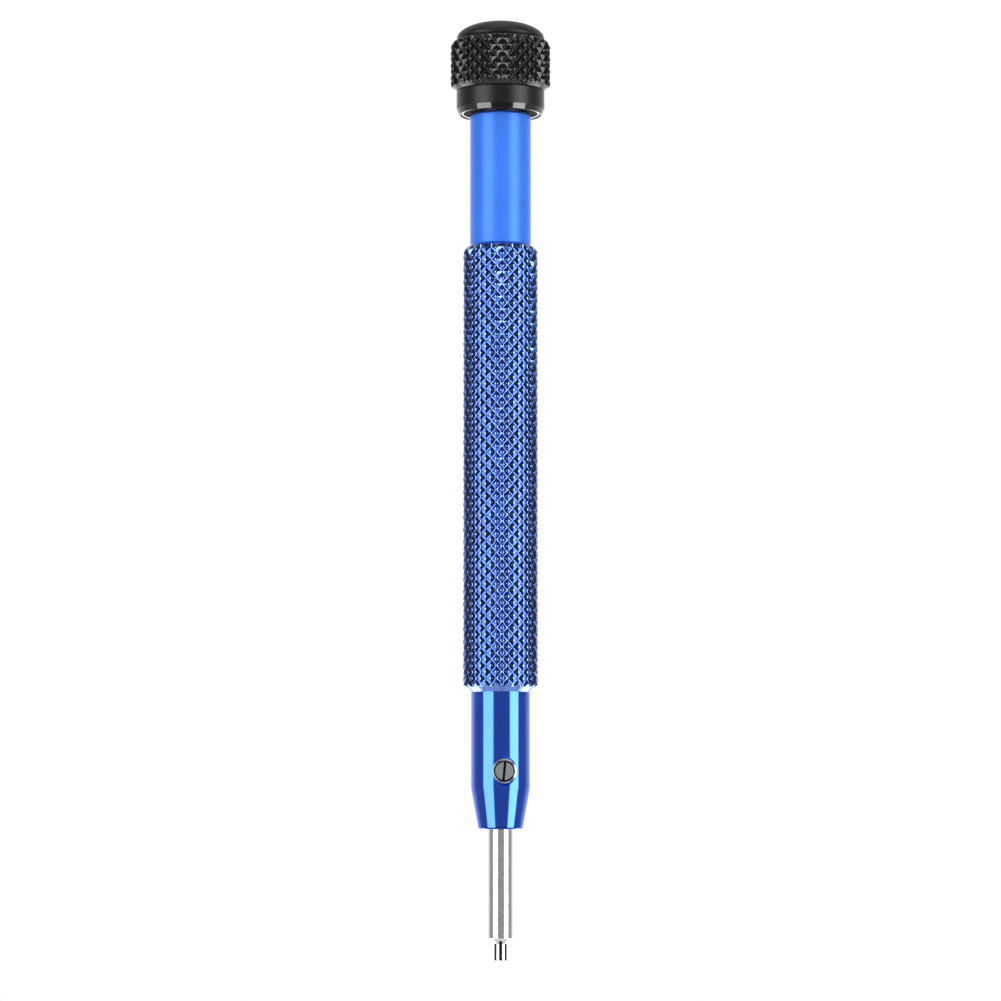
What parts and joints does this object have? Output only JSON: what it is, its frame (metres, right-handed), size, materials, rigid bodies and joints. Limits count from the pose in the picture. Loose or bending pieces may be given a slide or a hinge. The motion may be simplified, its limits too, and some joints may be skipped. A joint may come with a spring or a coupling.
{
  "type": "watchmaker screwdriver",
  "caption": "Slim precision screwdriver with a knurled barrel, a clamped exchangeable six-flute blade and a ball-bearing swivel head for the fingertip.",
  "frame": {"origin": "centre of the blade's flat tip end, on the driver's axis", "axes": "+Z along the driver's axis from the tip to the swivel head, -Y through the set screw, +X to the right when the set screw faces the viewer"},
  "size_m": [0.01, 0.01, 0.0937],
  "materials": {
    "anodised_blue": "blue anodised, polished on the nose, satin on the neck, diamond knurled grip",
    "anodised_black": "black anodised, diamond knurled band, glossy turned rim",
    "anodised_grey": "dark grey anodised, satin",
    "blade_steel": "finely ground and polished hardened steel",
    "screw_steel": "plain turned steel",
    "bearing_steel": "ground and polished bearing steel",
    "cage_plastic": "natural moulded nylon"
  },
  "bodies": {
    "barrel": {"barrel": "anodised_blue", "pivot_screw": "screw_steel", "spacer_washer": "anodised_blue", "bearing_inner_ring": "bearing_steel"},
    "head": {"head_shell": "anodised_black", "head_cap": "anodised_grey", "bearing_outer_ring": "bearing_steel", "bearing_lower_shield": "bearing_steel", "bearing_upper_shield": "bearing_steel"},
    "ball_cage": {"bearing_cage": "cage_plastic", "bearing_ball_1": "bearing_steel", "bearing_ball_2": "bearing_steel", "bearing_ball_3": "bearing_steel", "bearing_ball_4": "bearing_steel", "bearing_ball_5": "bearing_steel", "bearing_ball_6": "bearing_steel", "bearing_ball_7": "bearing_steel", "bearing_ball_8": "bearing_steel"},
    "blade": {"blade": "blade_steel"},
    "set_screw": {"set_screw": "screw_steel"}
  },
  "joints": [
    {"name": "head_swivel", "type": "hinge", "parent": "barrel", "child": "head", "pos_m": [0, 0, 0.0859], "axis": [0, 0, 1], "continuous": true},
    {"name": "cage_spin", "type": "hinge", "parent": "barrel", "child": "ball_cage", "pos_m": [0, 0, 0.0859], "axis": [0, 0, 1], "continuous": true},
    {"name": "blade_slide", "type": "slide", "parent": "barrel", "child": "blade", "axis": [0, 0, -1], "range_m": [0, 0.019]},
    {"name": "set_screw_turn", "type": "hinge", "parent": "barrel", "child": "set_screw", "pos_m": [0, -0.0018, 0.0186], "axis": [0, -1, 0], "range_deg": [0, 360]}
  ],
  "couplings": [
    {"joint": "cage_spin", "follows": "head_swivel", "ratio": 0.6}
  ]
}
